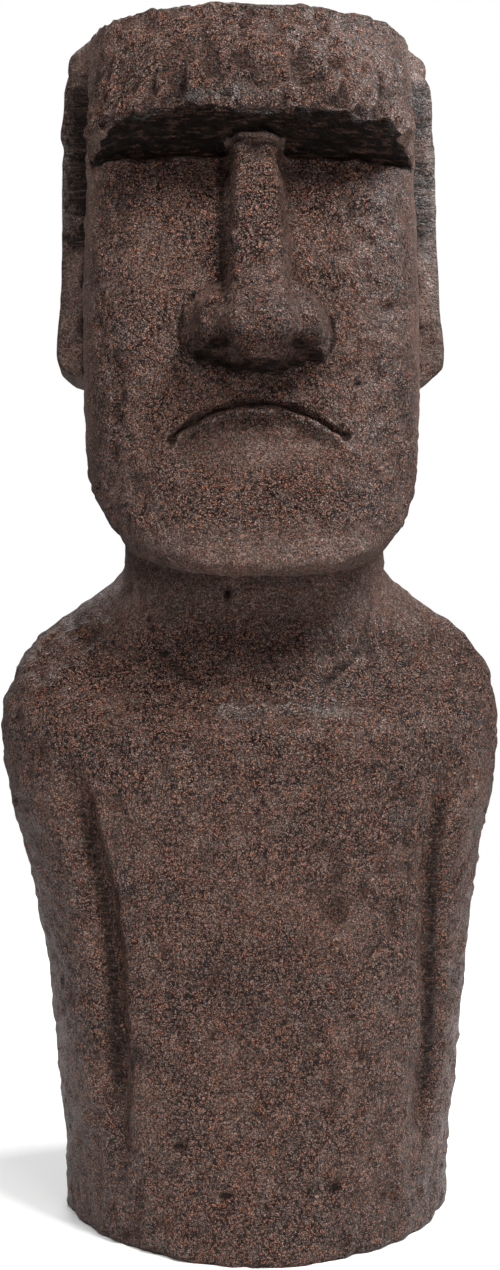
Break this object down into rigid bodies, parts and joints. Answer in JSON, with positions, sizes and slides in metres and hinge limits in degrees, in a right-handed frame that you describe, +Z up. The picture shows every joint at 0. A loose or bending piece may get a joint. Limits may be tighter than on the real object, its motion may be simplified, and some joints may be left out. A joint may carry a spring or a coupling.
{
  "type": "moai statue",
  "caption": "Stylised stone figure with a long head, heavy straight brow, broad nose, slab ears and down-turned mouth, on a torso with low-relief arms that ends in a flat underside.",
  "frame": {"origin": "centre of the flat underside, on the floor plane", "axes": "+Z up, from the underside to the crown; the face looks along -Y; +X is the figure's left"},
  "size_m": [0.3414, 0.2657, 0.801],
  "materials": {
    "cast_stone": "dark brown gritty crumb with rust-coloured specks, satin where it is rubbed"
  },
  "bodies": {
    "root": {"moai_statue": "cast_stone"}
  },
  "joints": []
}
